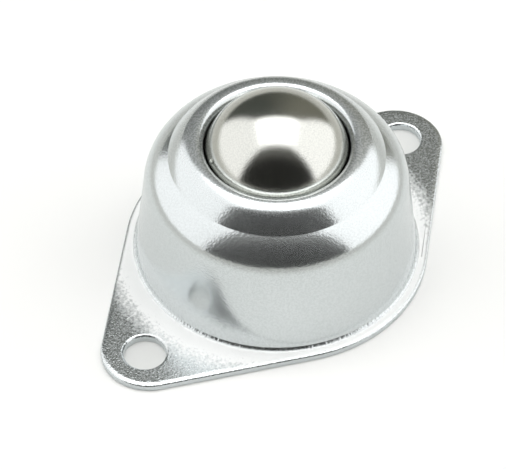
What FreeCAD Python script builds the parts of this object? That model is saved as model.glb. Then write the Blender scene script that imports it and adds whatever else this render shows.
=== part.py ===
"""Ball castor: a polished steel ball in a domed pressed-steel housing with a two-hole flange.

Millimetres, +Z up. The origin is at the middle of the flange's underside, and the two
fixing holes lie along X. The ball turns on loose bearing balls that run in a turned seat.
"""
import FreeCAD
import Part

import itertools
import math
import os

# The ball and its bearing
BALL_DIAMETER = 22.225          # load ball, seven eighths of an inch
BEARING_DIAMETER = 3.969        # small loose balls, five thirty-seconds of an inch
RUN_CLEARANCE = 0.03            # play on each side of a bearing ball
ROW_SPREAD = 1.02               # pitch between bearing balls over their diameter
BEARING_ROWS = 4                # rings of bearing balls around the bottom one

# The turned seat
SEAT_FLOOR = 3.85               # steel left under the bowl
SEAT_WALL = 4.85                # steel between the bowl's radius and the housing at its foot
SEAT_FIT = 0.02                 # gap between the seat and the housing that it is pressed into
RIM_DROP = 1.4                  # the seat's rim lies this far below the ball's centre
RIM_BEVEL = 0.3
DRAIN_RADIUS = 1.4              # drain hole, smaller than a bearing ball
DRAIN_BEVEL = 0.6
SEAT_BEVEL = 0.5

# The pressed housing
SHEET = 1.2
WALL_TAPER = 6.3                # degrees that the wall leans in
FOOT_BEND = 0.8                 # outer radius of the bend from flange to wall
SHOULDER_ARC = 6.0              # radius of the shoulder where it leaves the wall
SHOULDER_DROP = 4.5             # its centre lies this far below the ball's centre
SHOULDER_TOP_ARC = 11.0         # radius of the flatter part of the shoulder, up to the groove
SHOULDER_BLEND = 40.4           # degrees above the horizontal where one arc meets the other
LIP_RISE = 3.3                  # underside of the lip above the ball's centre
LIP_CLEARANCE = 0.22            # gap between lip and ball
LIP_ROLL = 1.0                  # radius of the lip's rolled inner edge
CREST_ARC = 3.25                # radius of the neck's crest
NECK_ARC = 14.0                 # radius of the neck below the crest
NECK_BLEND = 47.0               # degrees above the horizontal where one arc meets the other
GROOVE_ROUND = 0.25             # radius in the groove between shoulder and neck

# The flange and its holes
HOLE_SPACING = 58.0
HOLE_RADIUS = 3.1
HOLE_ROUND = 0.45               # rounded upper edge of each hole
FLANGE_LEDGE = 1.65             # flange left outside the wall, at the sides
EAR_RADIUS = 7.2
EAR_INSET = 1.05                # the ear's centre lies this far inside the hole's
FLANGE_ROUND = 0.4              # rounded upper edge of the flange
FLANGE_BREAK = 0.15             # rounded lower edge of the flange

# Sizes that follow
ball_radius = BALL_DIAMETER / 2
bearing_radius = BEARING_DIAMETER / 2
bowl_radius = ball_radius + BEARING_DIAMETER + 2 * RUN_CLEARANCE
track_radius = (ball_radius + bowl_radius) / 2
ball_height = SEAT_FLOOR + bowl_radius
foot_radius = bowl_radius + SEAT_WALL + SHEET
flange_radius = foot_radius + FLANGE_LEDGE
lip_height = ball_height + LIP_RISE
crest_height = lip_height + SHEET
lip_radius = math.sqrt(ball_radius ** 2 - LIP_RISE ** 2) + LIP_CLEARANCE
crest_radius = lip_radius + LIP_ROLL
taper = math.radians(WALL_TAPER)


def at_angle(centre, radius, degrees):
    """Point (r, z) of a circle in the section plane."""
    angle = math.radians(degrees)
    return (centre[0] + radius * math.cos(angle), centre[1] + radius * math.sin(angle))


def angle_of(centre, point):
    """Direction in degrees from a centre to a point of the section plane."""
    return math.degrees(math.atan2(point[1] - centre[1], point[0] - centre[0]))


def in_section(point):
    """Section point (r, z) as a vector in the XZ plane."""
    return FreeCAD.Vector(point[0], 0, point[1])


def line(start, end):
    """Straight edge of the section."""
    return Part.LineSegment(in_section(start), in_section(end)).toShape()


def arc(centre, radius, from_degrees, to_degrees):
    """Round edge of the section, given by the directions of its ends."""
    middle = (from_degrees + to_degrees) / 2
    ends = [at_angle(centre, radius, a) for a in (from_degrees, middle, to_degrees)]
    return Part.Arc(*[in_section(p) for p in ends]).toShape()


def turned(edges):
    """Solid of revolution about Z from the closed section."""
    face = Part.Face(Part.Wire(edges))
    return face.revolve(FreeCAD.Vector(0, 0, 0), FreeCAD.Vector(0, 0, 1), 360)


def outer_crossing(centre_a, radius_a, centre_b, radius_b):
    """The crossing of two circles that lies furthest from the axis."""
    across = centre_b[0] - centre_a[0]
    rise = centre_b[1] - centre_a[1]
    apart = math.hypot(across, rise)
    along = (apart ** 2 + radius_a ** 2 - radius_b ** 2) / (2 * apart)
    aside = math.sqrt(radius_a ** 2 - along ** 2)
    foot = (centre_a[0] + along * across / apart, centre_a[1] + along * rise / apart)
    options = [(foot[0] + side * rise / apart, foot[1] - side * across / apart)
               for side in (aside, -aside)]
    return max(options)


def wall_radius(height, depth):
    """Radius of the tapered wall at a height, measured at a depth inside its outer face."""
    return foot_radius - ((height - SHEET) * math.sin(taper) + depth) / math.cos(taper)


# Centres of the housing's arcs in the section plane
shoulder_centre = (wall_radius(ball_height - SHOULDER_DROP, SHOULDER_ARC), ball_height - SHOULDER_DROP)
shoulder_top_centre = at_angle(shoulder_centre, SHOULDER_TOP_ARC - SHOULDER_ARC, SHOULDER_BLEND + 180)
crest_centre = (crest_radius, crest_height - CREST_ARC)
neck_centre = at_angle(crest_centre, NECK_ARC - CREST_ARC, NECK_BLEND + 180)


def dome():
    """The drawn dome: foot bend, tapered wall, shoulder, groove, neck, crest and rolled lip."""
    outer_groove = outer_crossing(shoulder_top_centre, SHOULDER_TOP_ARC, neck_centre, NECK_ARC)
    inner_shoulder = SHOULDER_ARC - SHEET
    inner_top = SHOULDER_TOP_ARC - SHEET
    inner_neck = NECK_ARC - SHEET
    inner_crest = CREST_ARC - SHEET
    inner_groove = outer_crossing(shoulder_top_centre, inner_top, neck_centre, inner_neck)
    roll_centre = (crest_radius, crest_height - LIP_ROLL)

    # The bend at the foot touches the flange's upper face and the wall
    bend_radius = wall_radius(SHEET + FOOT_BEND, -FOOT_BEND)
    bend_centre = (bend_radius, SHEET + FOOT_BEND)
    inner_bend = FOOT_BEND + SHEET
    rim = bend_radius + FLANGE_LEDGE / 4

    # Outline from the flange over the dome to the lip, and back along the inside
    flange_top = (bend_centre[0], SHEET)
    wall_foot = at_angle(bend_centre, FOOT_BEND, 180 + WALL_TAPER)
    wall_top = at_angle(shoulder_centre, SHOULDER_ARC, WALL_TAPER)
    inside_top = at_angle(shoulder_centre, inner_shoulder, WALL_TAPER)
    inside_foot = at_angle(bend_centre, inner_bend, 180 + WALL_TAPER)
    under_crest = (crest_centre[0], crest_centre[1] + inner_crest)
    section = [
        line((rim, 0), (rim, SHEET)),
        line((rim, SHEET), flange_top),
        arc(bend_centre, FOOT_BEND, 270, 180 + WALL_TAPER),
        line(wall_foot, wall_top),
        arc(shoulder_centre, SHOULDER_ARC, WALL_TAPER, SHOULDER_BLEND),
        arc(shoulder_top_centre, SHOULDER_TOP_ARC, SHOULDER_BLEND,
            angle_of(shoulder_top_centre, outer_groove)),
        arc(neck_centre, NECK_ARC, angle_of(neck_centre, outer_groove), NECK_BLEND),
        arc(crest_centre, CREST_ARC, NECK_BLEND, 90),
        arc(roll_centre, LIP_ROLL, 90, 180),
        line((lip_radius, roll_centre[1]), (lip_radius, lip_height)),
        line((lip_radius, lip_height), under_crest),
        arc(crest_centre, inner_crest, 90, NECK_BLEND),
        arc(neck_centre, inner_neck, NECK_BLEND, angle_of(neck_centre, inner_groove)),
        arc(shoulder_top_centre, inner_top, angle_of(shoulder_top_centre, inner_groove), SHOULDER_BLEND),
        arc(shoulder_centre, inner_shoulder, SHOULDER_BLEND, WALL_TAPER),
        line(inside_top, inside_foot),
        arc(bend_centre, inner_bend, 180 + WALL_TAPER, 270),
        line((bend_centre[0], 0), (rim, 0)),
    ]
    solid = turned(section)
    groove = [e for e in solid.Edges
              if abs(e.BoundBox.ZMin - outer_groove[1]) < GROOVE_ROUND / 10
              and abs(e.BoundBox.XMax - outer_groove[0]) < GROOVE_ROUND / 10]
    return solid.makeFillet(GROOVE_ROUND, groove), rim


def flange_plate(opening):
    """The flat flange: a round middle and two ears, joined by tangent edges."""
    ear = HOLE_SPACING / 2 - EAR_INSET
    lean = math.acos((flange_radius - EAR_RADIUS) / ear)
    up = [FreeCAD.Vector(math.cos(a), math.sin(a), 0) for a in (lean, math.pi - lean)]
    down = [FreeCAD.Vector(v.x, -v.y, 0) for v in up]
    centres = [FreeCAD.Vector(side * ear, 0, 0) for side in (1, -1)]
    edges = []
    for side, tip in ((0, 1), (1, -1)):
        start = centres[side] + up[side] * EAR_RADIUS
        end = centres[side] + down[side] * EAR_RADIUS
        edges.append(Part.Arc(start, FreeCAD.Vector(tip * (ear + EAR_RADIUS), 0, 0), end).toShape())
    for normals, way in ((up, 1), (down, -1)):
        middle = FreeCAD.Vector(0, way * flange_radius, 0)
        edges.append(Part.Arc(normals[0] * flange_radius, middle, normals[1] * flange_radius).toShape())
        for side in (0, 1):
            edges.append(Part.LineSegment(normals[side] * flange_radius,
                                          centres[side] + normals[side] * EAR_RADIUS).toShape())
    outline = Part.Wire(Part.sortEdges(edges)[0])
    plate = Part.Face(outline).extrude(FreeCAD.Vector(0, 0, SHEET))
    top = [e for e in plate.Edges if e.BoundBox.ZMin > SHEET / 2]
    plate = plate.makeFillet(FLANGE_ROUND, top)
    bottom = [e for e in plate.Edges if e.BoundBox.ZMax < FLANGE_BREAK / 2]
    plate = plate.makeFillet(FLANGE_BREAK, bottom)
    for x in (-HOLE_SPACING / 2, HOLE_SPACING / 2):
        plate = plate.cut(Part.makeCylinder(HOLE_RADIUS, SHEET, FreeCAD.Vector(x, 0, 0)))
    rims = [e for e in plate.Edges
            if e.BoundBox.ZMin > SHEET - FLANGE_BREAK / 2 and e.BoundBox.XLength < 2.1 * HOLE_RADIUS
            and isinstance(e.Curve, Part.Circle) and abs(e.Curve.Radius - HOLE_RADIUS) < HOLE_ROUND / 10]
    plate = plate.makeFillet(HOLE_ROUND, rims)
    return plate.cut(Part.makeCylinder(opening, SHEET))


def housing():
    """The one-piece pressing: flange and dome in one sheet."""
    shell, rim = dome()
    return flange_plate(rim).fuse(shell).removeSplitter()


def bearing_seat():
    """The turned seat: a bowl for the bearing balls, nested in the dome from below."""
    rim_height = ball_height - RIM_DROP
    depth = SHEET + SEAT_FIT
    nest = SHOULDER_ARC - depth
    bowl_centre = (0, ball_height)
    rise = math.degrees(math.asin((rim_height - RIM_BEVEL - shoulder_centre[1]) / nest))
    rim_outer = at_angle(shoulder_centre, nest, rise)
    rim_inner = math.sqrt(bowl_radius ** 2 - RIM_DROP ** 2)
    drain_height = ball_height - math.sqrt(bowl_radius ** 2 - DRAIN_RADIUS ** 2)
    # Above the bend at the foot of the housing the seat lies against the wall
    land = SHEET + FOOT_BEND
    foot = wall_radius(land, depth)
    section = [
        line((DRAIN_RADIUS + DRAIN_BEVEL, 0), (foot - SEAT_BEVEL, 0)),
        line((foot - SEAT_BEVEL, 0), (foot, SEAT_BEVEL)),
        line((foot, SEAT_BEVEL), (foot, land)),
        line((foot, land), at_angle(shoulder_centre, nest, WALL_TAPER)),
        arc(shoulder_centre, nest, WALL_TAPER, rise),
        line(rim_outer, (rim_outer[0] - RIM_BEVEL, rim_height)),
        line((rim_outer[0] - RIM_BEVEL, rim_height), (rim_inner, rim_height)),
        arc(bowl_centre, bowl_radius, angle_of(bowl_centre, (rim_inner, rim_height)),
            angle_of(bowl_centre, (DRAIN_RADIUS, drain_height))),
        line((DRAIN_RADIUS, drain_height), (DRAIN_RADIUS, DRAIN_BEVEL)),
        line((DRAIN_RADIUS, DRAIN_BEVEL), (DRAIN_RADIUS + DRAIN_BEVEL, 0)),
    ]
    return turned(section)


def load_ball():
    """The large ball that carries the load."""
    return Part.makeSphere(ball_radius, FreeCAD.Vector(0, 0, ball_height))


def small_ball():
    """A bearing ball with few faces: an icosahedron, each face split in four, on the sphere."""
    golden = (1 + math.sqrt(5)) / 2
    corners = []
    for a, b in itertools.product((-1, 1), (-golden, golden)):
        corners += [FreeCAD.Vector(0, a, b), FreeCAD.Vector(a, b, 0), FreeCAD.Vector(b, 0, a)]
    near = [t for t in itertools.combinations(corners, 3)
            if all((p - q).Length < 2.1 for p, q in itertools.combinations(t, 2))]

    def on_ball(point):
        return point * (bearing_radius / point.Length)

    faces = []
    for a, b, c in near:
        mids = [(a + b) * 0.5, (b + c) * 0.5, (c + a) * 0.5]
        for corner in ((a, mids[0], mids[2]), (b, mids[1], mids[0]), (c, mids[2], mids[1]), mids):
            ring = [on_ball(p) for p in corner]
            faces.append(Part.Face(Part.makePolygon(ring + ring[:1])))
    ball = Part.Solid(Part.Shell(faces))
    if ball.Volume < 0:
        ball.reverse()
    return ball


def bearing_places():
    """Centres of the bearing balls: one at the bottom of the bowl and rings around it."""
    pitch = 2 * math.asin(bearing_radius * ROW_SPREAD / track_radius)
    places = [FreeCAD.Vector(0, 0, ball_height - track_radius)]
    for row in range(1, BEARING_ROWS + 1):
        lean = row * pitch
        count = int(math.pi / math.asin(math.sin(pitch / 2) / math.sin(lean)))
        for k in range(count):
            turn = 2 * math.pi * (k + row / 2) / count
            places.append(FreeCAD.Vector(track_radius * math.sin(lean) * math.cos(turn),
                                         track_radius * math.sin(lean) * math.sin(turn),
                                         ball_height - track_radius * math.cos(lean)))
    return places


def main():
    """Writes one STEP file for each piece."""
    os.makedirs("parts", exist_ok=True)
    pieces = {"housing": housing(), "bearing_seat": bearing_seat(), "load_ball": load_ball()}
    ball = small_ball()
    for number, place in enumerate(bearing_places(), 1):
        piece = ball.copy()
        piece.translate(place)
        pieces[f"bearing_ball_{number:02d}"] = piece
    for name, shape in pieces.items():
        shape.exportStep(f"parts/{name}.step")


main()
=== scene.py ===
"""Looks of a ball castor: a polished ball in a zinc-plated housing with a two-hole flange."""

import enum
import logging
import math
from dataclasses import dataclass
from typing import Dict, List, Sequence, Tuple

import bmesh
import bpy
from mathutils import Matrix, Vector

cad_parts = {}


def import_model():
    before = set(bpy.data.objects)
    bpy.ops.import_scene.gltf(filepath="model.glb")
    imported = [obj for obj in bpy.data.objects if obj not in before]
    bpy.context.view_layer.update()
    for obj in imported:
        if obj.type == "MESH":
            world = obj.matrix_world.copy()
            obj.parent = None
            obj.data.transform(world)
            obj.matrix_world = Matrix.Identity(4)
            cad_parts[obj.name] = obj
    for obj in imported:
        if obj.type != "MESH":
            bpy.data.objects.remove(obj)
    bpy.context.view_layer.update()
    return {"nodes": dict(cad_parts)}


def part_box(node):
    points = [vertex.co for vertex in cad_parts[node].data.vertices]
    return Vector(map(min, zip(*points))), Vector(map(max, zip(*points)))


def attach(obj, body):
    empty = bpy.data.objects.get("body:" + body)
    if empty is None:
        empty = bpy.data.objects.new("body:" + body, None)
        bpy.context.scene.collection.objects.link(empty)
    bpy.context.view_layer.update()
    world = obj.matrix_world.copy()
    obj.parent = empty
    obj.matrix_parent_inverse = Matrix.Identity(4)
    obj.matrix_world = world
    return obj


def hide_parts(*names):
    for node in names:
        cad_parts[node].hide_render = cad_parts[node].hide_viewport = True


LOG = logging.getLogger("castor")
MM = 0.001
MERGE = 1e-6
# Values between which nearly all of a noise texture lies.
NOISE_LOW, NOISE_HIGH = 0.42, 0.58
# Keeps the level part of a place and drops its height.
LEVEL = (1.0, 1.0, 0.0)
# Numbers of the Mix node's inputs, and of its colour output.
FACTOR, FLOAT_A, FLOAT_B, COLOUR_A, COLOUR_B = 0, 2, 3, 6, 7
MIXED = 2

Point = Tuple[float, float]
Corner = Tuple[float, float, float]
Colour = Tuple[float, float, float, float]
Tree = bpy.types.NodeTree
Socket = bpy.types.NodeSocket
Haze = Tuple[Socket, Dict[str, Socket]]


class Shine(enum.Enum):
    """How a steel surface was finished, with the roughness of its sharp reflection."""

    MIRROR_POLISHED = 0.07
    GROUND = 0.12
    BRIGHT_PLATED = 0.14
    TURNED = 0.30


def hex_linear(text: str) -> Colour:
    """Turns an sRGB hex colour into the linear colour that the shaders take.

    Args:
        text: Six hex digits, such as "c0c4c6".

    Returns:
        Red, green, blue and an alpha of one.
    """
    parts = [int(text[k:k + 2], 16) / 255 for k in (0, 2, 4)]
    linear = [p / 12.92 if p <= 0.04045 else ((p + 0.055) / 1.055) ** 2.4 for p in parts]
    return (linear[0], linear[1], linear[2], 1.0)


def grey(level: float) -> Colour:
    """A plain brightness as a colour, which may be brighter than white."""
    return (level, level, level, 1.0)


def add_node(tree: Tree, kind: str, settings: Dict[object, object],
             links: Dict[object, Socket]) -> bpy.types.Node:
    """Adds a shader node with its settings and links.

    The inputs of Math, Vector Math and Mix nodes go by number, because they share their names.

    Args:
        tree: The node tree that gets the node.
        kind: Blender's name for the node's type.
        settings: Values by input name or number, or by the node's own attribute.
        links: Output sockets by the name or number of the input that they feed.

    Returns:
        The new node.
    """
    node = tree.nodes.new(kind)
    for key, value in settings.items():
        if isinstance(key, str) and hasattr(node, key):
            setattr(node, key, value)
        else:
            node.inputs[key].default_value = value
    for key, socket in links.items():
        tree.links.new(socket, node.inputs[key])
    return node


def arc(centre: Point, radius: float, start: float, end: float, turn: float) -> List[Point]:
    """Points of a circle's stretch in the section plane.

    Args:
        centre: Radius and height of the circle's centre.
        radius: The circle's radius.
        start: Direction of the first point in degrees.
        end: Direction of the last point in degrees.
        turn: Largest turn between points in degrees.

    Returns:
        Points as radius and height, with both ends.
    """
    count = max(2, math.ceil(abs(end - start) / turn))
    return [at_angle(centre, radius, start + (end - start) * k / count) for k in range(count + 1)]


def at_angle(centre: Point, radius: float, angle: float) -> Point:
    """Point of the section plane at a distance and a direction in degrees from a centre."""
    turn = math.radians(angle)
    return (centre[0] + radius * math.cos(turn), centre[1] + radius * math.sin(turn))


def direction(centre: Point, point: Point) -> float:
    """Direction in degrees from a centre to a point of the section plane."""
    return math.degrees(math.atan2(point[1] - centre[1], point[0] - centre[0]))


def outer_crossing(centre_a: Point, radius_a: float, centre_b: Point, radius_b: float) -> Point:
    """Finds where two circles cross.

    Args:
        centre_a: Centre of the first circle.
        radius_a: Its radius.
        centre_b: Centre of the second circle.
        radius_b: Its radius.

    Returns:
        The crossing that lies further from the axis.
    """
    across, rise = centre_b[0] - centre_a[0], centre_b[1] - centre_a[1]
    apart = math.hypot(across, rise)
    along = (apart ** 2 + radius_a ** 2 - radius_b ** 2) / (2 * apart)
    aside = math.sqrt(radius_a ** 2 - along ** 2)
    foot = (centre_a[0] + along * across / apart, centre_a[1] + along * rise / apart)
    return max((foot[0] + s * rise / apart, foot[1] - s * across / apart) for s in (aside, -aside))


def joined(stretches: Sequence[List[Point]]) -> List[Point]:
    """Strings stretches of an outline together.

    Args:
        stretches: Points of each stretch, in order.

    Returns:
        All points, with one kept where a stretch starts at the end of the last.
    """
    points: List[Point] = []
    for stretch in stretches:
        meets = bool(points) and math.dist(points[-1], stretch[0]) * MM < MERGE
        points += stretch[1:] if meets else stretch
    return points


def spun(section: Sequence[Point], steps: int, closed: bool) -> bmesh.types.BMesh:
    """Turns a section about the vertical axis.

    Args:
        section: Points as radius and height in millimetres.
        steps: Stretches around the axis.
        closed: Whether the last point joins the first.

    Returns:
        A new mesh in metres, with its doubles merged.
    """
    bm = bmesh.new()
    verts = [bm.verts.new((r * MM, 0.0, z * MM)) for r, z in section]
    pairs = list(zip(verts, verts[1:])) + ([(verts[-1], verts[0])] if closed else [])
    edges = [bm.edges.new(pair) for pair in pairs]
    bmesh.ops.spin(bm, geom=verts + edges, cent=(0, 0, 0), axis=(0, 0, 1), dvec=(0, 0, 0),
                   angle=2 * math.pi, steps=steps, use_merge=True, use_duplicate=False)
    bmesh.ops.remove_doubles(bm, verts=bm.verts, dist=MERGE)
    return bm


def merged(bm: bmesh.types.BMesh, other: bmesh.types.BMesh) -> None:
    """Moves one mesh's geometry into another.

    Args:
        bm: The mesh that takes the geometry.
        other: The mesh that gives it, which is freed.
    """
    mesh = bpy.data.meshes.new("passing")
    other.to_mesh(mesh)
    other.free()
    bm.from_mesh(mesh)
    bpy.data.meshes.remove(mesh)


def as_object(bm: bmesh.types.BMesh, name: str) -> bpy.types.Object:
    """Makes an object of a mesh, with its faces pointing outwards.

    Args:
        bm: The mesh, which is freed.
        name: The object's name.

    Returns:
        The new object, linked to the scene.
    """
    bmesh.ops.recalc_face_normals(bm, faces=bm.faces)
    mesh = bpy.data.meshes.new(name)
    bm.to_mesh(mesh)
    bm.free()
    obj = bpy.data.objects.new(name, mesh)
    bpy.context.scene.collection.objects.link(obj)
    return obj


def applied(obj: bpy.types.Object) -> bpy.types.Mesh:
    """Applies an object's modifiers.

    Args:
        obj: The object, which keeps its own mesh.

    Returns:
        A new mesh.
    """
    graph = bpy.context.evaluated_depsgraph_get()
    graph.update()
    return bpy.data.meshes.new_from_object(obj.evaluated_get(graph), depsgraph=graph)


def finished(obj: bpy.types.Object, sharp: float) -> bpy.types.Object:
    """Shades a piece smooth between its sharp edges and keeps its flat faces flat.

    Args:
        obj: The piece, whose modifiers are applied.
        sharp: Edges that turn by more degrees than this stay sharp.

    Returns:
        The same object with its final mesh.
    """
    obj.data.shade_smooth()
    obj.data.set_sharp_from_angle(angle=math.radians(sharp))
    weighted = obj.modifiers.new("weighted", "WEIGHTED_NORMAL")
    weighted.keep_sharp = True
    weighted.weight = 100
    obj.data = applied(obj)
    obj.modifiers.clear()
    return obj


@dataclass(frozen=True)
class Steel:
    """A bare or plated steel surface, with its sizes in millimetres.

    The colour and shade are the metal's own, mixed in clouds. A part of the light, the haze, is
    spread wider than the rest, and differs from speck to speck. The grain is the size of the
    bumps that break up the edges of what the metal reflects, and the relief is their height.
    """

    name: str
    shine: Shine
    colour: str
    shade: str
    haze: float
    haze_roughness: float
    grain: float
    relief: float
    cloud: float = 6.0
    speck: float = 0.5
    speck_size: float = 0.28

    def surface(self) -> bpy.types.Material:
        """Builds the material.

        Returns:
            The new material, whose patterns lie in Object coordinates.
        """
        material = bpy.data.materials.new(self.name)
        material.use_nodes = True
        tree = material.node_tree
        tree.nodes.clear()
        place = add_node(tree, "ShaderNodeTexCoord", {}, {}).outputs["Object"]
        clouds = add_node(tree, "ShaderNodeTexNoise",
                          {"Scale": 1 / (self.cloud * MM), "Detail": 3.0, "Roughness": 0.6},
                          {"Vector": place})
        tone = add_node(tree, "ShaderNodeMix",
                        {"data_type": "RGBA", COLOUR_A: hex_linear(self.shade),
                         COLOUR_B: hex_linear(self.colour)}, {FACTOR: clouds.outputs["Fac"]})
        normal = self.relief_nodes(tree, place)
        share, spread = self.haze_nodes(tree, place)
        lobes = [add_node(tree, "ShaderNodeBsdfPrincipled", {"Metallic": 1.0, "Roughness": rough},
                          {"Base Color": tone.outputs[MIXED], "Normal": normal, **more})
                 for rough, more in ((self.shine.value, {}), (self.haze_roughness, spread))]
        metal = add_node(tree, "ShaderNodeMixShader", {},
                         {0: share, 1: lobes[0].outputs["BSDF"], 2: lobes[1].outputs["BSDF"]})
        add_node(tree, "ShaderNodeOutputMaterial", {}, {"Surface": metal.outputs["Shader"]})
        return material

    def relief_nodes(self, tree: Tree, place: Socket) -> Socket:
        """Adds the grain.

        Args:
            tree: The material's nodes.
            place: Object coordinates.

        Returns:
            The bumped normal.
        """
        grit = add_node(tree, "ShaderNodeTexNoise",
                        {"Scale": 1 / (self.grain * MM), "Detail": 2.0, "Roughness": 0.55},
                        {"Vector": place})
        return add_node(tree, "ShaderNodeBump", {"Strength": 1.0, "Distance": self.relief * MM},
                        {"Height": grit.outputs["Fac"]}).outputs["Normal"]

    def haze_nodes(self, tree: Tree, place: Socket) -> Haze:
        """Adds the share of widely spread light, which differs from speck to speck.

        Args:
            tree: The material's nodes.
            place: Object coordinates.

        Returns:
            The share as a socket, and the sockets that the wide lobe takes.
        """
        speck = add_node(tree, "ShaderNodeTexNoise",
                         {"Scale": 1 / (self.speck_size * MM), "Detail": 1.0}, {"Vector": place})
        share = add_node(tree, "ShaderNodeMapRange",
                         {"From Min": NOISE_LOW, "From Max": NOISE_HIGH,
                          "To Min": self.haze * (1 - self.speck),
                          "To Max": self.haze * (1 + self.speck)}, {"Value": speck.outputs["Fac"]})
        return share.outputs["Result"], {}


@dataclass(frozen=True)
class ZincPlate(Steel):
    """Zinc plate on the pressing, with the marks that the drawing tools left in the sheet.

    The blank holder rubbed a ring of the flange around the dome, so that it shines more softly
    than the ears do, and the ring's outer edge wanders. The die smoothed the dome's grain and
    drew fine upright lines into the foot of its wall, and the tool that rolled the lip dulled
    the crest. The edge of the flange was sheared and reflects dully. Sizes are in millimetres,
    and a pair of radii or heights says where a mark starts and where it is full.
    """

    rubbed_inner: Point = (21.4, 21.7)
    rubbed_outer: Point = (26.8, 23.4)
    rubbed_shift: float = 0.8
    rubbed_heights: Point = (1.05, 1.17)
    rubbed_wander: float = 5.0
    rubbed_blotch: float = 0.45
    rubbed_haze: float = 0.95
    rubbed_roughness: float = 0.9
    rubbed_metal: float = 0.1
    rubbed_colour: str = "fbfcfb"
    edge_height: float = 0.85
    scratch: Tuple[Corner, Corner] = ((-26.13, 6.32, 1.2), (-24.39, 6.13, 1.2))
    scratch_width: float = 0.12
    rolled_radii: Point = (14.3, 13.3)
    rolled_gain: float = 1.9
    dome_heights: Point = (1.2, 1.6)
    dome_grain: float = 0.36
    dome_speck: float = 0.45
    mark_pitch: float = 0.42
    mark_length: float = 5.0
    mark_relief: float = 0.16
    mark_start: Point = (1.2, 1.3)
    mark_end: Point = (4.2, 1.6)
    wall_radius: float = 21.0

    def haze_nodes(self, tree: Tree, place: Socket) -> Haze:
        """Adds the haze, which is strong and wide on the rubbed ring and on the sheared edge.

        Args:
            tree: The material's nodes.
            place: Object coordinates.

        Returns:
            The share as a socket, and the sockets that the wide lobe takes.
        """
        height = add_node(tree, "ShaderNodeSeparateXYZ", {}, {"Vector": place}).outputs["Z"]
        level = add_node(tree, "ShaderNodeVectorMath", {"operation": "MULTIPLY", 1: LEVEL},
                         {0: place})
        radius = add_node(tree, "ShaderNodeVectorMath", {"operation": "LENGTH"},
                          {0: level.outputs[0]}).outputs["Value"]
        rubbed = add_node(tree, "ShaderNodeMath", {"operation": "MAXIMUM"},
                          {0: self.ring_nodes(tree, place, height, radius),
                           1: self.scratch_nodes(tree, place)}).outputs[0]
        edge = add_node(tree, "ShaderNodeMath",
                        {"operation": "LESS_THAN", 1: self.edge_height * MM}, {0: height})
        dull = add_node(tree, "ShaderNodeMath", {"operation": "MAXIMUM"},
                        {0: rubbed, 1: edge.outputs[0]})
        share = add_node(tree, "ShaderNodeMapRange", {"To Max": self.rubbed_haze},
                         {"Value": dull.outputs[0],
                          "To Min": self.bright_nodes(tree, place, height, radius)})
        spread = {name: add_node(tree, "ShaderNodeMapRange", {"To Min": plain, "To Max": worn},
                                 {"Value": rubbed}).outputs["Result"]
                  for name, plain, worn in (("Roughness", self.haze_roughness,
                                             self.rubbed_roughness),
                                            ("Metallic", 1.0, self.rubbed_metal))}
        spread["Base Color"] = add_node(tree, "ShaderNodeMix",
                                        {"data_type": "RGBA",
                                         COLOUR_A: hex_linear(self.colour),
                                         COLOUR_B: hex_linear(self.rubbed_colour)},
                                        {FACTOR: rubbed}).outputs[MIXED]
        return share.outputs["Result"], spread

    def bright_nodes(self, tree: Tree, place: Socket, height: Socket, radius: Socket) -> Socket:
        """Adds the haze of the plate that wasn't rubbed.

        Args:
            tree: The material's nodes.
            place: Object coordinates.
            height: Height over the flange's underside.
            radius: Distance from the dome's axis.

        Returns:
            The share, whose specks are calmer on the dome and which grows on the rolled crest.
        """
        specks, _ = super().haze_nodes(tree, place)
        calm = add_node(tree, "ShaderNodeMapRange",
                        {"From Min": self.dome_heights[0] * MM,
                         "From Max": self.dome_heights[1] * MM,
                         "To Min": 1.0, "To Max": self.dome_speck}, {"Value": height})
        even = add_node(tree, "ShaderNodeMix", {FLOAT_A: self.haze},
                        {FACTOR: calm.outputs["Result"], FLOAT_B: specks})
        gain = add_node(tree, "ShaderNodeMapRange",
                        {"From Min": self.rolled_radii[0] * MM,
                         "From Max": self.rolled_radii[1] * MM,
                         "To Min": 1.0, "To Max": self.rolled_gain}, {"Value": radius})
        return add_node(tree, "ShaderNodeMath", {"operation": "MULTIPLY"},
                        {0: gain.outputs["Result"], 1: even.outputs[0]}).outputs[0]

    def ring_nodes(self, tree: Tree, place: Socket, height: Socket, radius: Socket) -> Socket:
        """Adds the mask of the rubbed ring, which lies a little off the dome's axis.

        Args:
            tree: The material's nodes.
            place: Object coordinates.
            height: Height over the flange's underside.
            radius: Distance from the dome's axis.

        Returns:
            The mask, one on the ring.
        """
        centred = add_node(tree, "ShaderNodeVectorMath",
                           {"operation": "MULTIPLY_ADD", 1: LEVEL,
                            2: (self.rubbed_shift * MM, 0.0, 0.0)}, {0: place})
        away = add_node(tree, "ShaderNodeVectorMath", {"operation": "LENGTH"},
                        {0: centred.outputs[0]})
        blotch = add_node(tree, "ShaderNodeTexNoise",
                          {"Scale": 1 / (self.rubbed_blotch * MM), "Detail": 3.0},
                          {"Vector": place})
        wander = add_node(tree, "ShaderNodeMath",
                          {"operation": "MULTIPLY_ADD", 1: self.rubbed_wander * MM,
                           2: -self.rubbed_wander / 2 * MM}, {0: blotch.outputs["Fac"]})
        reach = add_node(tree, "ShaderNodeMath", {"operation": "ADD"},
                         {0: away.outputs["Value"], 1: wander.outputs[0]})
        limits = ((self.rubbed_outer, reach.outputs[0]), (self.rubbed_heights, height),
                  (self.rubbed_inner, radius))
        outer, top, inner = (add_node(tree, "ShaderNodeMapRange",
                                      {"From Min": start * MM, "From Max": full * MM},
                                      {"Value": value}).outputs["Result"]
                             for (start, full), value in limits)
        inside = add_node(tree, "ShaderNodeMath", {"operation": "MULTIPLY"}, {0: top, 1: inner})
        return add_node(tree, "ShaderNodeMath", {"operation": "MULTIPLY"},
                        {0: outer, 1: inside.outputs[0]}).outputs[0]

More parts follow.
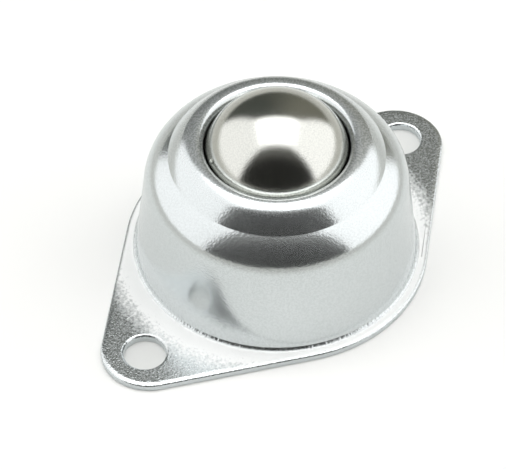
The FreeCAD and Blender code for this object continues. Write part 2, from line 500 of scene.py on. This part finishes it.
    def scratch_nodes(self, tree: Tree, place: Socket) -> Socket:
        """Adds the mask of the short scratch beside the left hole.

        Args:
            tree: The material's nodes.
            place: Object coordinates.

        Returns:
            The mask, one on the scratch's line.
        """
        start, end = (Vector(corner) * MM for corner in self.scratch)
        along = (end - start).normalized()
        away = add_node(tree, "ShaderNodeVectorMath", {"operation": "SUBTRACT", 1: start},
                        {0: place})
        run = add_node(tree, "ShaderNodeVectorMath", {"operation": "DOT_PRODUCT", 1: along},
                       {0: away.outputs[0]})
        within = add_node(tree, "ShaderNodeClamp", {"Max": (end - start).length},
                          {"Value": run.outputs["Value"]})
        foot = add_node(tree, "ShaderNodeVectorMath", {"operation": "SCALE", 0: along},
                        {"Scale": within.outputs[0]})
        off = add_node(tree, "ShaderNodeVectorMath", {"operation": "DISTANCE"},
                       {0: away.outputs[0], 1: foot.outputs[0]})
        return add_node(tree, "ShaderNodeMapRange",
                        {"From Min": self.scratch_width * MM, "From Max": 0.0},
                        {"Value": off.outputs["Value"]}).outputs["Result"]

    def relief_nodes(self, tree: Tree, place: Socket) -> Socket:
        """Adds the grain, which is weaker on the dome, and the drawing lines at its foot.

        Args:
            tree: The material's nodes.
            place: Object coordinates.

        Returns:
            The bumped normal.
        """
        grain = super().relief_nodes(tree, place)
        split = add_node(tree, "ShaderNodeSeparateXYZ", {}, {"Vector": place})
        height = split.outputs["Z"]
        ranges = ((self.dome_heights, self.dome_grain, 1.0), (self.mark_end, 1.0, 0.0),
                  (self.mark_start, 1.0, 0.0))
        smoothed, fade, above = (add_node(tree, "ShaderNodeMapRange",
                                          {"From Min": start * MM, "From Max": full * MM,
                                           "To Min": before, "To Max": after},
                                          {"Value": height}).outputs["Result"]
                                 for (start, full), after, before in ranges)
        tree.links.new(smoothed, grain.node.inputs["Strength"])
        around = add_node(tree, "ShaderNodeMath", {"operation": "ARCTAN2"},
                          {0: split.outputs["Y"], 1: split.outputs["X"]})
        turns = add_node(tree, "ShaderNodeMath",
                         {"operation": "MULTIPLY", 1: self.wall_radius / self.mark_pitch},
                         {0: around.outputs[0]})
        rise = add_node(tree, "ShaderNodeMath",
                        {"operation": "MULTIPLY", 1: 1 / (self.mark_length * MM)}, {0: height})
        unrolled = add_node(tree, "ShaderNodeCombineXYZ", {},
                            {"X": turns.outputs[0], "Y": rise.outputs[0]})
        lines = add_node(tree, "ShaderNodeTexNoise", {"Scale": 1.0, "Detail": 2.0},
                         {"Vector": unrolled.outputs[0]})
        where = add_node(tree, "ShaderNodeMath", {"operation": "MULTIPLY"}, {0: fade, 1: above})
        return add_node(tree, "ShaderNodeBump", {"Distance": self.mark_relief * MM},
                        {"Height": lines.outputs["Fac"], "Strength": where.outputs[0],
                         "Normal": grain}).outputs["Normal"]


# Bright zinc plate over pressed steel sheet: pale and slightly blue, with a sandy edge to what
# it reflects, because the sheet under the plate isn't polished. The grain is drawn coarser than
# real plate has, so that it shows.
ZINC_PLATE = ZincPlate(
    name="bright_zinc_plated_pressed_steel", shine=Shine.BRIGHT_PLATED, colour="dadedf",
    shade="d3d8d8", haze=0.20, haze_roughness=0.55, grain=0.34, relief=0.048, cloud=7.0)
# Mirror polished bearing steel: darker and warmer than zinc, with sharp reflections and a dust
# of fine specks, which is drawn coarser than it is, so that it shows.
BALL_STEEL = Steel(
    name="mirror_polished_bearing_steel", shine=Shine.MIRROR_POLISHED, colour="d2d2cd",
    shade="cfd0ca", haze=0.08, haze_roughness=0.35, grain=0.17, relief=0.014, speck=0.9,
    speck_size=0.2)
# Ground bearing steel of the small balls: bright and a little soft.
SMALL_BALL_STEEL = Steel(
    name="ground_bearing_steel", shine=Shine.GROUND, colour="c4c3bf", shade="bbbab5",
    haze=0.05, haze_roughness=0.40, grain=0.15, relief=0.002)
# Turned and hardened steel of the seat: grey and dull, with a faint heat tint.
SEAT_STEEL = Steel(
    name="turned_hardened_steel", shine=Shine.TURNED, colour="8d8c8a", shade="7b7a79",
    haze=0.20, haze_roughness=0.55, grain=0.25, relief=0.012)


@dataclass
class CastorSizes:
    """Driving sizes of the castor in millimetres and degrees, and those that follow from them."""

    ball_diameter: float = 22.225
    bearing_diameter: float = 3.969
    run_clearance: float = 0.03
    seat_floor: float = 3.85
    seat_wall: float = 4.85
    seat_fit: float = 0.02
    rim_drop: float = 1.4
    sheet: float = 1.2
    taper: float = 6.3
    foot_bend: float = 0.9
    shoulder_arc: float = 6.0
    shoulder_drop: float = 4.5
    shoulder_top_arc: float = 11.0
    shoulder_blend: float = 40.4
    lip_rise: float = 3.3
    lip_clearance: float = 0.22
    lip_roll: float = 1.15
    crest_arc: float = 3.0
    neck_arc: float = 14.0
    neck_blend: float = 47.0
    groove_round: float = 0.25
    flange_ledge: float = 1.65

    @property
    def ball_radius(self) -> float:
        """Radius of the load ball."""
        return self.ball_diameter / 2

    @property
    def bowl_radius(self) -> float:
        """Radius of the seat's bowl."""
        return self.ball_radius + self.bearing_diameter + 2 * self.run_clearance

    @property
    def ball_height(self) -> float:
        """Height of the ball's centre."""
        return self.seat_floor + self.bowl_radius

    @property
    def foot_radius(self) -> float:
        """Outer radius of the wall at the flange."""
        return self.bowl_radius + self.seat_wall + self.sheet

    @property
    def lip_radius(self) -> float:
        """Inner radius of the lip."""
        return math.sqrt(self.ball_radius ** 2 - self.lip_rise ** 2) + self.lip_clearance

    @property
    def crest_radius(self) -> float:
        """Radius of the neck's highest ring."""
        return self.lip_radius + self.lip_roll

    @property
    def crest_height(self) -> float:
        """Height of the neck's highest ring."""
        return self.ball_height + self.lip_rise + self.sheet

    def wall_radius(self, height: float, depth: float) -> float:
        """Radius of the tapered wall at a height, measured at a depth inside its outer face."""
        lean = math.radians(self.taper)
        return self.foot_radius - ((height - self.sheet) * math.sin(lean) + depth) / math.cos(lean)

    @property
    def shoulder_centre(self) -> Point:
        """Centre of the shoulder's arc next to the wall."""
        height = self.ball_height - self.shoulder_drop
        return (self.wall_radius(height, self.shoulder_arc), height)

    @property
    def shoulder_top_centre(self) -> Point:
        """Centre of the shoulder's flatter arc, up to the groove."""
        return at_angle(self.shoulder_centre, self.shoulder_arc - self.shoulder_top_arc,
                        self.shoulder_blend)

    @property
    def crest_centre(self) -> Point:
        """Centre of the crest's arc."""
        return (self.crest_radius, self.crest_height - self.crest_arc)

    @property
    def neck_centre(self) -> Point:
        """Centre of the neck's arc below the crest."""
        return at_angle(self.crest_centre, self.crest_arc - self.neck_arc, self.neck_blend)

    @property
    def bend_centre(self) -> Point:
        """Centre of the bend between flange and wall."""
        height = self.sheet + self.foot_bend
        return (self.wall_radius(height, -self.foot_bend), height)


@dataclass
class HousingPressing:
    """The one-piece housing: a flat flange with two ears and a drawn dome.

    Sizes are in millimetres, and the turns and edge angles in degrees. A turn is the largest
    angle between two points of an arc: fine on the faces that reflect in the open, and coarse
    inside the dome.
    """

    sizes: CastorSizes
    finish: Steel = ZINC_PLATE
    hole_spacing: float = 58.0
    hole_radius: float = 3.1
    hole_round: float = 0.45
    hole_steps: int = 96
    mouth_end: float = 95.0
    mouth_turn: float = 10.0
    tool_heights: Point = (-1.0, 2.0)
    ear_radius: float = 7.2
    ear_inset: float = 1.05
    roll_width: float = 0.85
    roll_drop: float = 0.34
    roll_steps: int = 8
    flange_break: float = 0.15
    flat_angle: float = 0.4
    sharp_angle: float = 32.0
    steps: int = 288
    ear_steps: int = 192
    fine_turn: float = 1.5
    crest_turn: float = 2.0
    inner_turn: float = 4.0
    round_turn: float = 5.0
    bend_turn: float = 6.0
    nick: Corner = (-9.57, 5.33, 22.9)
    nick_reach: float = 0.42
    nick_push: Point = (0.224, -0.224)
    nick_fall: float = 1.5

    @property
    def ring(self) -> float:
        """Radius where the dome's mesh joins the flange's, halfway to the rolled edge."""
        s = self.sizes
        return (s.bend_centre[0] + s.foot_radius + s.flange_ledge - self.roll_width) / 2

    def outer_stretches(self) -> List[List[Point]]:
        """Draws the dome's outer face from the flange's top to the lip's edge.

        Returns:
            The stretches of the outline in order.
        """
        s = self.sizes
        top, neck = s.shoulder_top_centre, s.neck_centre
        groove = outer_crossing(top, s.shoulder_top_arc + s.groove_round,
                                neck, s.neck_arc + s.groove_round)
        below, above = direction(top, groove), direction(neck, groove)
        roll = (s.crest_radius, s.crest_height - s.lip_roll)
        wall = 180 + s.taper
        return [
            [(self.ring, s.sheet)],
            arc(s.bend_centre, s.foot_bend, 270, wall, self.bend_turn),
            arc(s.shoulder_centre, s.shoulder_arc, s.taper, s.shoulder_blend, self.fine_turn),
            arc(top, s.shoulder_top_arc, s.shoulder_blend, below, self.fine_turn),
            arc(groove, s.groove_round, below - 180, above - 180, self.round_turn),
            arc(neck, s.neck_arc, above, s.neck_blend, self.fine_turn),
            arc(s.crest_centre, s.crest_arc, s.neck_blend, 90, self.crest_turn),
            arc(roll, s.lip_roll, 90, 180, self.round_turn),
        ]

    def inner_stretches(self) -> List[List[Point]]:
        """Draws the dome's inner face from the lip's edge to the flange's underside.

        Returns:
            The stretches of the outline in order.
        """
        s = self.sizes
        top, neck = s.shoulder_top_centre, s.neck_centre
        top_arc, neck_arc = s.shoulder_top_arc - s.sheet, s.neck_arc - s.sheet
        groove = outer_crossing(top, top_arc, neck, neck_arc)
        below, above = direction(top, groove), direction(neck, groove)
        wall = 180 + s.taper
        return [
            [(s.lip_radius, s.crest_height - s.sheet)],
            arc(s.crest_centre, s.crest_arc - s.sheet, 90, s.neck_blend, self.round_turn),
            arc(neck, neck_arc, s.neck_blend, above, self.inner_turn),
            arc(top, top_arc, below, s.shoulder_blend, self.inner_turn),
            arc(s.shoulder_centre, s.shoulder_arc - s.sheet, s.shoulder_blend, s.taper,
                self.inner_turn),
            arc(s.bend_centre, s.foot_bend + s.sheet, wall, 270, self.bend_turn),
            [(self.ring, 0.0)],
        ]

    def flange(self) -> bmesh.types.BMesh:
        """Makes the flange without its holes: the hull of a disc and two ears.

        Returns:
            A new mesh, with the lower edge broken and the upper edge rolled by the die.
        """
        s = self.sizes
        bm = bmesh.new()
        ear = self.hole_spacing / 2 - self.ear_inset
        discs = ((0.0, s.foot_radius + s.flange_ledge, self.steps),
                 (ear, self.ear_radius, self.ear_steps), (-ear, self.ear_radius, self.ear_steps))
        for x, radius, segments in discs:
            bmesh.ops.create_cone(bm, cap_ends=True, segments=segments, radius1=radius * MM,
                                  radius2=radius * MM, depth=s.sheet * MM,
                                  matrix=Matrix.Translation((x * MM, 0, s.sheet * MM / 2)))
        hull = bmesh.ops.convex_hull(bm, input=bm.verts)
        spare = set(hull["geom_interior"]) | set(hull["geom_unused"])
        bmesh.ops.delete(bm, geom=[v for v in spare if isinstance(v, bmesh.types.BMVert)],
                         context="VERTS")
        bmesh.ops.remove_doubles(bm, verts=bm.verts, dist=MERGE)
        bmesh.ops.dissolve_limit(bm, angle_limit=math.radians(self.flat_angle), verts=bm.verts,
                                 edges=bm.edges, delimit=set())
        rim = [e for e in bm.edges if all(abs(v.co.z) < MERGE for v in e.verts)]
        bmesh.ops.bevel(bm, geom=rim, offset=self.flange_break * MM, offset_type="OFFSET",
                        segments=3, profile=0.5, affect="EDGES", material=-1, clamp_overlap=True)
        self.roll_edge(bm)
        return bm

    def roll_edge(self, bm: bmesh.types.BMesh) -> None:
        """Rolls the flange's upper edge down, in steps of an ellipse from the edge inwards.

        Args:
            bm: The flange, whose top is one flat region.
        """
        height = self.sizes.sheet
        top = [f for f in bm.faces if all(abs(v.co.z - height * MM) < MERGE for v in f.verts)]
        turns = [math.pi / 2 * k / self.roll_steps for k in range(self.roll_steps + 1)]
        for before, after in zip(turns, turns[1:]):
            step = self.roll_width * MM * (math.cos(before) - math.cos(after))
            made = bmesh.ops.inset_region(bm, faces=top, thickness=step, depth=0.0,
                                          use_even_offset=True, use_boundary=True)["faces"]
            inner = {v for f in top for v in f.verts}
            for vert in {v for f in made for v in f.verts} - inner:
                vert.co.z = (height - self.roll_drop * (1 - math.sin(before))) * MM

    def cutters(self) -> bmesh.types.BMesh:
        """Makes the tools that pierce the flange: two holes and the dome's opening.

        Returns:
            A new mesh. Each mouth's round ends a little short of the flange's top, which it
            would only graze.
        """
        low, high = self.tool_heights
        centre = (self.hole_radius + self.hole_round, self.sizes.sheet - self.hole_round)
        mouth = arc(centre, self.hole_round, 180, self.mouth_end, self.mouth_turn)
        profile = [(0.0, low), (self.hole_radius, low), *mouth, (mouth[-1][0], high), (0.0, high)]
        bm = spun([(0.0, low), (self.ring, low), (self.ring, high), (0.0, high)], self.steps,
                  False)
        for side in (-1, 1):
            hole = spun(profile, self.hole_steps, False)
            bmesh.ops.translate(hole, verts=hole.verts,
                                vec=(side * self.hole_spacing / 2 * MM, 0, 0))
            merged(bm, hole)
        return bm

    def press_nick(self, bm: bmesh.types.BMesh) -> None:
        """Presses the small nick into the lip's edge.

        Args:
            bm: The dome.
        """
        spot = Vector(self.nick) * MM
        outwards, upwards = self.nick_push
        for vert in bm.verts:
            near = 1 - (vert.co - spot).length / (self.nick_reach * MM)
            if near > 0:
                away = Vector((vert.co.x, vert.co.y, 0)).normalized()
                push = away * outwards + Vector((0, 0, upwards))
                vert.co += push * MM * near ** self.nick_fall

    def build(self) -> bpy.types.Object:
        """Builds the pressing.

        Returns:
            The finished piece.
        """
        plate = as_object(self.flange(), "flange_blank")
        tool = as_object(self.cutters(), "flange_tools")
        cut = plate.modifiers.new("pierce", "BOOLEAN")
        cut.operation = "DIFFERENCE"
        cut.solver = "EXACT"
        cut.object = tool
        bm = bmesh.new()
        bm.from_mesh(applied(plate))
        for thing in (plate, tool):
            bpy.data.objects.remove(thing)
        opening = [f for f in bm.faces
                   if all(abs(v.co.xy.length - self.ring * MM) < MERGE for v in f.verts)]
        bmesh.ops.delete(bm, geom=opening, context="FACES")
        dome = spun(joined(self.outer_stretches() + self.inner_stretches()), self.steps, False)
        self.press_nick(dome)
        merged(bm, dome)
        bmesh.ops.remove_doubles(bm, verts=bm.verts, dist=MERGE)
        piece = finished(as_object(bm, "housing_pressing"), self.sharp_angle)
        piece.data.materials.clear()
        piece.data.materials.append(self.finish.surface())
        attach(piece, "housing")
        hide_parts("housing")
        return piece


@dataclass
class BearingSeat:
    """The turned bowl inside the dome, with its sizes in millimetres and angles in degrees."""

    sizes: CastorSizes
    finish: Steel = SEAT_STEEL
    rim_bevel: float = 0.3
    drain_radius: float = 1.4
    drain_bevel: float = 0.6
    foot_bevel: float = 0.5
    sharp_angle: float = 30.0
    turn: float = 3.0
    steps: int = 192

    def section(self) -> List[Point]:
        """Draws the seat's section from its foot over the rim and the bowl to the drain.

        Returns:
            The closed outline.
        """
        s = self.sizes
        depth = s.sheet + s.seat_fit
        nest = s.shoulder_arc - depth
        rim = s.ball_height - s.rim_drop
        rise = math.degrees(math.asin((rim - self.rim_bevel - s.shoulder_centre[1]) / nest))
        shoulder = arc(s.shoulder_centre, nest, s.taper, rise, self.turn)
        bowl = (0.0, s.ball_height)
        rim_inner = (math.sqrt(s.bowl_radius ** 2 - s.rim_drop ** 2), rim)
        drop = math.sqrt(s.bowl_radius ** 2 - self.drain_radius ** 2)
        drain = (self.drain_radius, s.ball_height - drop)
        foot = s.wall_radius(s.sheet + s.foot_bend, depth)
        return [
            (self.drain_radius + self.drain_bevel, 0.0),
            (foot - self.foot_bevel, 0.0),
            (foot, self.foot_bevel),
            (foot, s.sheet + s.foot_bend),
            *shoulder,
            (shoulder[-1][0] - self.rim_bevel, rim),
            *arc(bowl, s.bowl_radius, direction(bowl, rim_inner), direction(bowl, drain),
                 self.turn),
            (self.drain_radius, self.drain_bevel),
        ]

    def build(self) -> bpy.types.Object:
        """Builds the seat.

        Returns:
            The finished piece.
        """
        blank = as_object(spun(self.section(), self.steps, True), "turned_seat")
        piece = finished(blank, self.sharp_angle)
        piece.data.materials.append(self.finish.surface())
        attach(piece, "housing")
        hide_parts("bearing_seat")
        return piece


@dataclass
class SteelBalls:
    """The load ball and the loose bearing balls under it.

    The levels say how often the icosahedron's faces are split.
    """

    sizes: CastorSizes
    load_finish: Steel = BALL_STEEL
    small_finish: Steel = SMALL_BALL_STEEL
    load_levels: int = 7
    small_levels: int = 4

    @staticmethod
    def ball(name: str, centre: Vector, radius: float, levels: int) -> bpy.types.Object:
        """Builds a round ball.

        Args:
            name: The piece's name.
            centre: Its centre in metres.
            radius: Its radius in metres.
            levels: How often the icosahedron's faces are split.

        Returns:
            The finished piece.
        """
        bm = bmesh.new()
        bmesh.ops.create_icosphere(bm, subdivisions=levels, radius=radius,
                                   matrix=Matrix.Translation(centre))
        piece = as_object(bm, name)
        piece.data.shade_smooth()
        return piece

    def build_load_ball(self) -> bpy.types.Object:
        """Builds the load ball.

        Returns:
            The finished piece.
        """
        s = self.sizes
        piece = self.ball("polished_load_ball", Vector((0, 0, s.ball_height * MM)),
                          s.ball_radius * MM, self.load_levels)
        piece.data.materials.append(self.load_finish.surface())
        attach(piece, "load_ball")
        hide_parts("load_ball")
        return piece

    def build_bearing_balls(self, nodes: Sequence[str]) -> List[bpy.types.Object]:
        """Builds one round ball for each bearing ball of the frame.

        Args:
            nodes: Names of the frame's bearing balls.

        Returns:
            The finished pieces.
        """
        surface = self.small_finish.surface()
        radius = self.sizes.bearing_diameter / 2 * MM
        pieces = []
        for node in nodes:
            low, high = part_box(node)
            piece = self.ball(f"ground_{node}", (low + high) / 2, radius, self.small_levels)
            piece.data.materials.append(surface)
            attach(piece, "bearing_balls")
            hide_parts(node)
            pieces.append(piece)
        return pieces


@dataclass(frozen=True)
class Tent:
    """What stands around the object, as brightness and as limits of direction.

    The directions are told by how far they lean towards the camera (near), to its right (side)
    and away from it (far), each as a part of one. White walls stand at the left and the right,
    a bright panel hangs overhead, a dim screen stands behind and a dark card in front.
    """

    left: float = 1.32
    right: float = 1.48
    wall_turn: float = 0.3
    overhead: float = 3.2
    overhead_side: float = 0.40
    overhead_near: float = 0.22
    overhead_soft: float = 0.14
    behind_left: str = "50534e"
    behind_right: str = "7e7d72"
    behind_turn: Point = (-0.25, 0.45)
    behind_far: float = 0.46
    behind_far_soft: float = 0.06
    behind_slopes: Point = (1.00, 1.12)
    behind_side_soft: float = 0.12
    front: str = "262624"
    front_top: str = "6a6a66"
    front_near: float = 0.33
    front_full: float = 0.68
    front_slope: float = 2.15
    front_inset: float = 0.375
    front_soft: float = 0.09


@dataclass
class Studio:
    """The pale floor, the soft light around it and the camera.

    Angles are in degrees. Lengths are in millimetres, apart from the floor's and the lamp's
    size, the lamp's height and the camera's clipping, which are in metres. A pair of radii says
    where a tone of the floor starts and where it is full.
    """

    tent: Tent = Tent()
    azimuth: float = -48.08
    elevation: float = 48.09
    distance: float = 503.6
    shift_right: float = 3.512
    shift_up: float = -1.979
    focal_pixels: float = 3328.5
    frame_width: float = 506.0
    clip: Point = (0.01, 20.0)
    floor_size: float = 3.0
    floor_colour: str = "f3f3f1"
    floor_near: str = "e8e9e7"
    floor_far: str = "c4c4bf"
    floor_fade: Point = (55.0, 110.0)
    # Painted shade: a darker floor colour in a disc under each of the two holes, standing in for
    # the flange's shadow.
    painted_floor_shade: str = "d8d9d7"
    painted_shade_place: float = 29.0
    painted_shade_radii: Point = (4.4, 3.4)
    lamp_size: float = 1.2
    lamp_height: float = 1.2
    lamp_power: float = 0.6

    def axes(self) -> Tuple[Vector, Vector, Vector]:
        """Works out the camera's own directions.

        Returns:
            The directions to the right, up and back from the object.
        """
        a, e = math.radians(self.azimuth), math.radians(self.elevation)
        back = Vector((math.sin(a) * math.cos(e), -math.cos(a) * math.cos(e), math.sin(e)))
        right = Vector((math.cos(a), math.sin(a), 0))
        return right, back.cross(right), back

    def build_camera(self) -> None:
        """Places the camera where the photograph was taken from."""
        right, up, back = self.axes()
        camera = bpy.data.objects.new("camera", bpy.data.cameras.new("camera"))
        camera.data.lens = camera.data.sensor_width * self.focal_pixels / self.frame_width
        camera.data.clip_start, camera.data.clip_end = self.clip
        camera.rotation_mode = "QUATERNION"
        camera.rotation_quaternion = Matrix((right, up, back)).transposed().to_quaternion()
        camera.location = (back * self.distance - right * self.shift_right
                           - up * self.shift_up) * MM
        bpy.context.scene.collection.objects.link(camera)
        bpy.context.scene.camera = camera

    def build_floor(self) -> None:
        """Lays the plain pale floor."""
        bm = bmesh.new()
        bmesh.ops.create_grid(bm, x_segments=1, y_segments=1, size=self.floor_size)
        floor = as_object(bm, "floor")
        material = bpy.data.materials.new("pale_floor")
        material.use_nodes = True
        shader = material.node_tree.nodes["Principled BSDF"]
        shader.inputs["Roughness"].default_value = 1.0
        shader.inputs["Specular IOR Level"].default_value = 0.0
        material.node_tree.links.new(self.floor_nodes(material.node_tree),
                                     shader.inputs["Base Color"])
        floor.data.materials.append(material)

    def floor_nodes(self, tree: Tree) -> Socket:
        """Adds the floor's colour.

        Its far parts look dimmer in the metal than to the eye, as in the photograph, and it has a
        painted shade under the two holes.

        Args:
            tree: The floor's nodes.

        Returns:
            The colour.
        """
        place = add_node(tree, "ShaderNodeTexCoord", {}, {}).outputs["Object"]
        away = add_node(tree, "ShaderNodeVectorMath", {"operation": "LENGTH"}, {0: place})
        sides = add_node(tree, "ShaderNodeVectorMath", {"operation": "ABSOLUTE"}, {0: place})
        below = add_node(tree, "ShaderNodeVectorMath",
                         {"operation": "DISTANCE", 1: (self.painted_shade_place * MM, 0, 0)},
                         {0: sides.outputs[0]})
        far, under = (add_node(tree, "ShaderNodeMapRange",
                               {"From Min": start * MM, "From Max": full * MM},
                               {"Value": node.outputs["Value"]}).outputs["Result"]
                      for (start, full), node in ((self.floor_fade, away),
                                                  (self.painted_shade_radii, below)))
        mirrored = add_node(tree, "ShaderNodeMix",
                            {"data_type": "RGBA", COLOUR_A: hex_linear(self.floor_near),
                             COLOUR_B: hex_linear(self.floor_far)}, {FACTOR: far})
        seen = add_node(tree, "ShaderNodeLightPath", {}, {}).outputs["Is Camera Ray"]
        plain = add_node(tree, "ShaderNodeMix",
                         {"data_type": "RGBA", COLOUR_B: hex_linear(self.floor_colour)},
                         {FACTOR: seen, COLOUR_A: mirrored.outputs[MIXED]})
        # Painted shade: the floor is darkened in a disc under each hole, for every ray.
        return add_node(tree, "ShaderNodeMix",
                        {"data_type": "RGBA", COLOUR_B: hex_linear(self.painted_floor_shade)},
                        {FACTOR: under, COLOUR_A: plain.outputs[MIXED]}).outputs[MIXED]

    def tent_steps(self, tree: Tree) -> Dict[str, Socket]:
        """Adds the soft steps from zero to one that bound the tent's parts.

        Args:
            tree: The world's nodes.

        Returns:
            The steps by name.
        """
        tent = self.tent
        right, _, back = self.axes()
        towards = Vector((back.x, back.y, 0)).normalized()
        look = add_node(tree, "ShaderNodeTexCoord", {}, {}).outputs["Generated"]
        near, side = (add_node(tree, "ShaderNodeVectorMath",
                               {"operation": "DOT_PRODUCT", 1: axis}, {0: look}).outputs["Value"]
                      for axis in (towards, right))
        aside = add_node(tree, "ShaderNodeMath", {"operation": "ABSOLUTE"}, {0: side}).outputs[0]
        # Slanting edges: how far a direction leans towards the camera, times the edge's slope,
        # against how far it leans to the side.
        slants = []
        for slope, sign, across in ((-tent.behind_slopes[0], 1.0, side),
                                    (-tent.behind_slopes[1], -1.0, side),
                                    (tent.front_slope, -1.0, aside)):
            signed = add_node(tree, "ShaderNodeMath", {"operation": "MULTIPLY", 1: sign},
                              {0: across})
            slants.append(add_node(tree, "ShaderNodeMath",
                                   {"operation": "MULTIPLY_ADD", 1: slope},
                                   {0: near, 2: signed.outputs[0]}).outputs[0])
        wide, far, faint = tent.overhead_soft, tent.behind_far_soft, tent.front_soft
        limits = {
            "wall_turn": (side, -tent.wall_turn, tent.wall_turn),
            "overhead_side": (aside, tent.overhead_side + wide, tent.overhead_side - wide),
            "overhead_near": (near, tent.overhead_near + wide, tent.overhead_near - wide),
            "behind_turn": (side, *tent.behind_turn),
            "behind_far": (near, -tent.behind_far + far, -tent.behind_far - far),
            "behind_left": (slants[0], -tent.behind_side_soft, tent.behind_side_soft),
            "behind_right": (slants[1], -tent.behind_side_soft, tent.behind_side_soft),
            "front_full": (near, tent.front_near + faint, tent.front_full),
            "front_near": (near, tent.front_near - faint, tent.front_near + faint),
            "front_side": (slants[2], tent.front_inset - faint, tent.front_inset + faint),
        }
        return {name: add_node(tree, "ShaderNodeMapRange",
                               {"interpolation_type": "SMOOTHSTEP", "From Min": low,
                                "From Max": high}, {"Value": value}).outputs["Result"]
                for name, (value, low, high) in limits.items()}

    def build_surroundings(self) -> None:
        """Lights the scene with a white tent that is dark in front and dim behind."""
        tent = self.tent
        world = bpy.data.worlds.new("tent")
        bpy.context.scene.world = world
        world.use_nodes = True
        tree = world.node_tree
        tree.nodes.clear()
        steps = self.tent_steps(tree)
        masks = []
        for first, *others in (("overhead_side", "overhead_near"),
                               ("behind_far", "behind_left", "behind_right"),
                               ("front_near", "front_side")):
            mask = steps[first]
            for other in others:
                mask = add_node(tree, "ShaderNodeMath", {"operation": "MULTIPLY"},
                                {0: mask, 1: steps[other]}).outputs[0]
            masks.append(mask)
        tones = {"wall_turn": (grey(tent.left), grey(tent.right)),
                 "behind_turn": (hex_linear(tent.behind_left), hex_linear(tent.behind_right)),
                 "front_full": (hex_linear(tent.front_top), hex_linear(tent.front))}
        walls, screen, card = (add_node(tree, "ShaderNodeMix",
                                        {"data_type": "RGBA", COLOUR_A: start, COLOUR_B: end},
                                        {FACTOR: steps[name]}).outputs[MIXED]
                               for name, (start, end) in tones.items())
        overhead, behind, front = masks
        lit = add_node(tree, "ShaderNodeMix",
                       {"data_type": "RGBA", COLOUR_B: grey(tent.overhead)},
                       {FACTOR: overhead, COLOUR_A: walls})
        rear = add_node(tree, "ShaderNodeMix", {"data_type": "RGBA"},
                        {FACTOR: behind, COLOUR_A: lit.outputs[MIXED], COLOUR_B: screen})
        whole = add_node(tree, "ShaderNodeMix", {"data_type": "RGBA"},
                         {FACTOR: front, COLOUR_A: rear.outputs[MIXED], COLOUR_B: card})
        # The eye sees plain white around the object, and only the metal shows the tent.
        seen = add_node(tree, "ShaderNodeLightPath", {}, {}).outputs["Is Camera Ray"]
        sky = add_node(tree, "ShaderNodeMix", {"data_type": "RGBA", COLOUR_B: grey(1.0)},
                       {FACTOR: seen, COLOUR_A: whole.outputs[MIXED]})
        glow = add_node(tree, "ShaderNodeBackground", {}, {"Color": sky.outputs[MIXED]})
        add_node(tree, "ShaderNodeOutputWorld", {}, {"Surface": glow.outputs["Background"]})

    def build_lamp(self) -> None:
        """Hangs a large soft lamp overhead, which lights the floor and isn't seen in the metal."""
        data = bpy.data.lights.new("overhead", "AREA")
        data.shape = "DISK"
        data.size = self.lamp_size
        data.energy = self.lamp_power
        lamp = bpy.data.objects.new("overhead", data)
        lamp.location = (0.0, 0.0, self.lamp_height)
        lamp.visible_glossy = False
        bpy.context.scene.collection.objects.link(lamp)

    def build(self) -> None:
        """Sets up everything around the object."""
        self.build_camera()
        self.build_floor()
        self.build_surroundings()
        self.build_lamp()
        settings = bpy.context.scene.view_settings
        settings.view_transform = "Standard"
        settings.look = "None"


def main() -> None:
    """Loads the frame, sets the studio and dresses the frame piece by piece."""
    logging.basicConfig(level=logging.INFO, format="%(name)s: %(message)s")
    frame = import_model()
    Studio().build()
    sizes = CastorSizes()
    balls = SteelBalls(sizes)
    small = sorted(name for name in frame["nodes"] if name.startswith("bearing_ball_"))
    pieces = [HousingPressing(sizes).build(), BearingSeat(sizes).build(), balls.build_load_ball()]
    pieces += balls.build_bearing_balls(small)
    for piece in pieces:
        LOG.info("%s has %d faces", piece.name, len(piece.data.polygons))


if __name__ == "__main__":
    main()
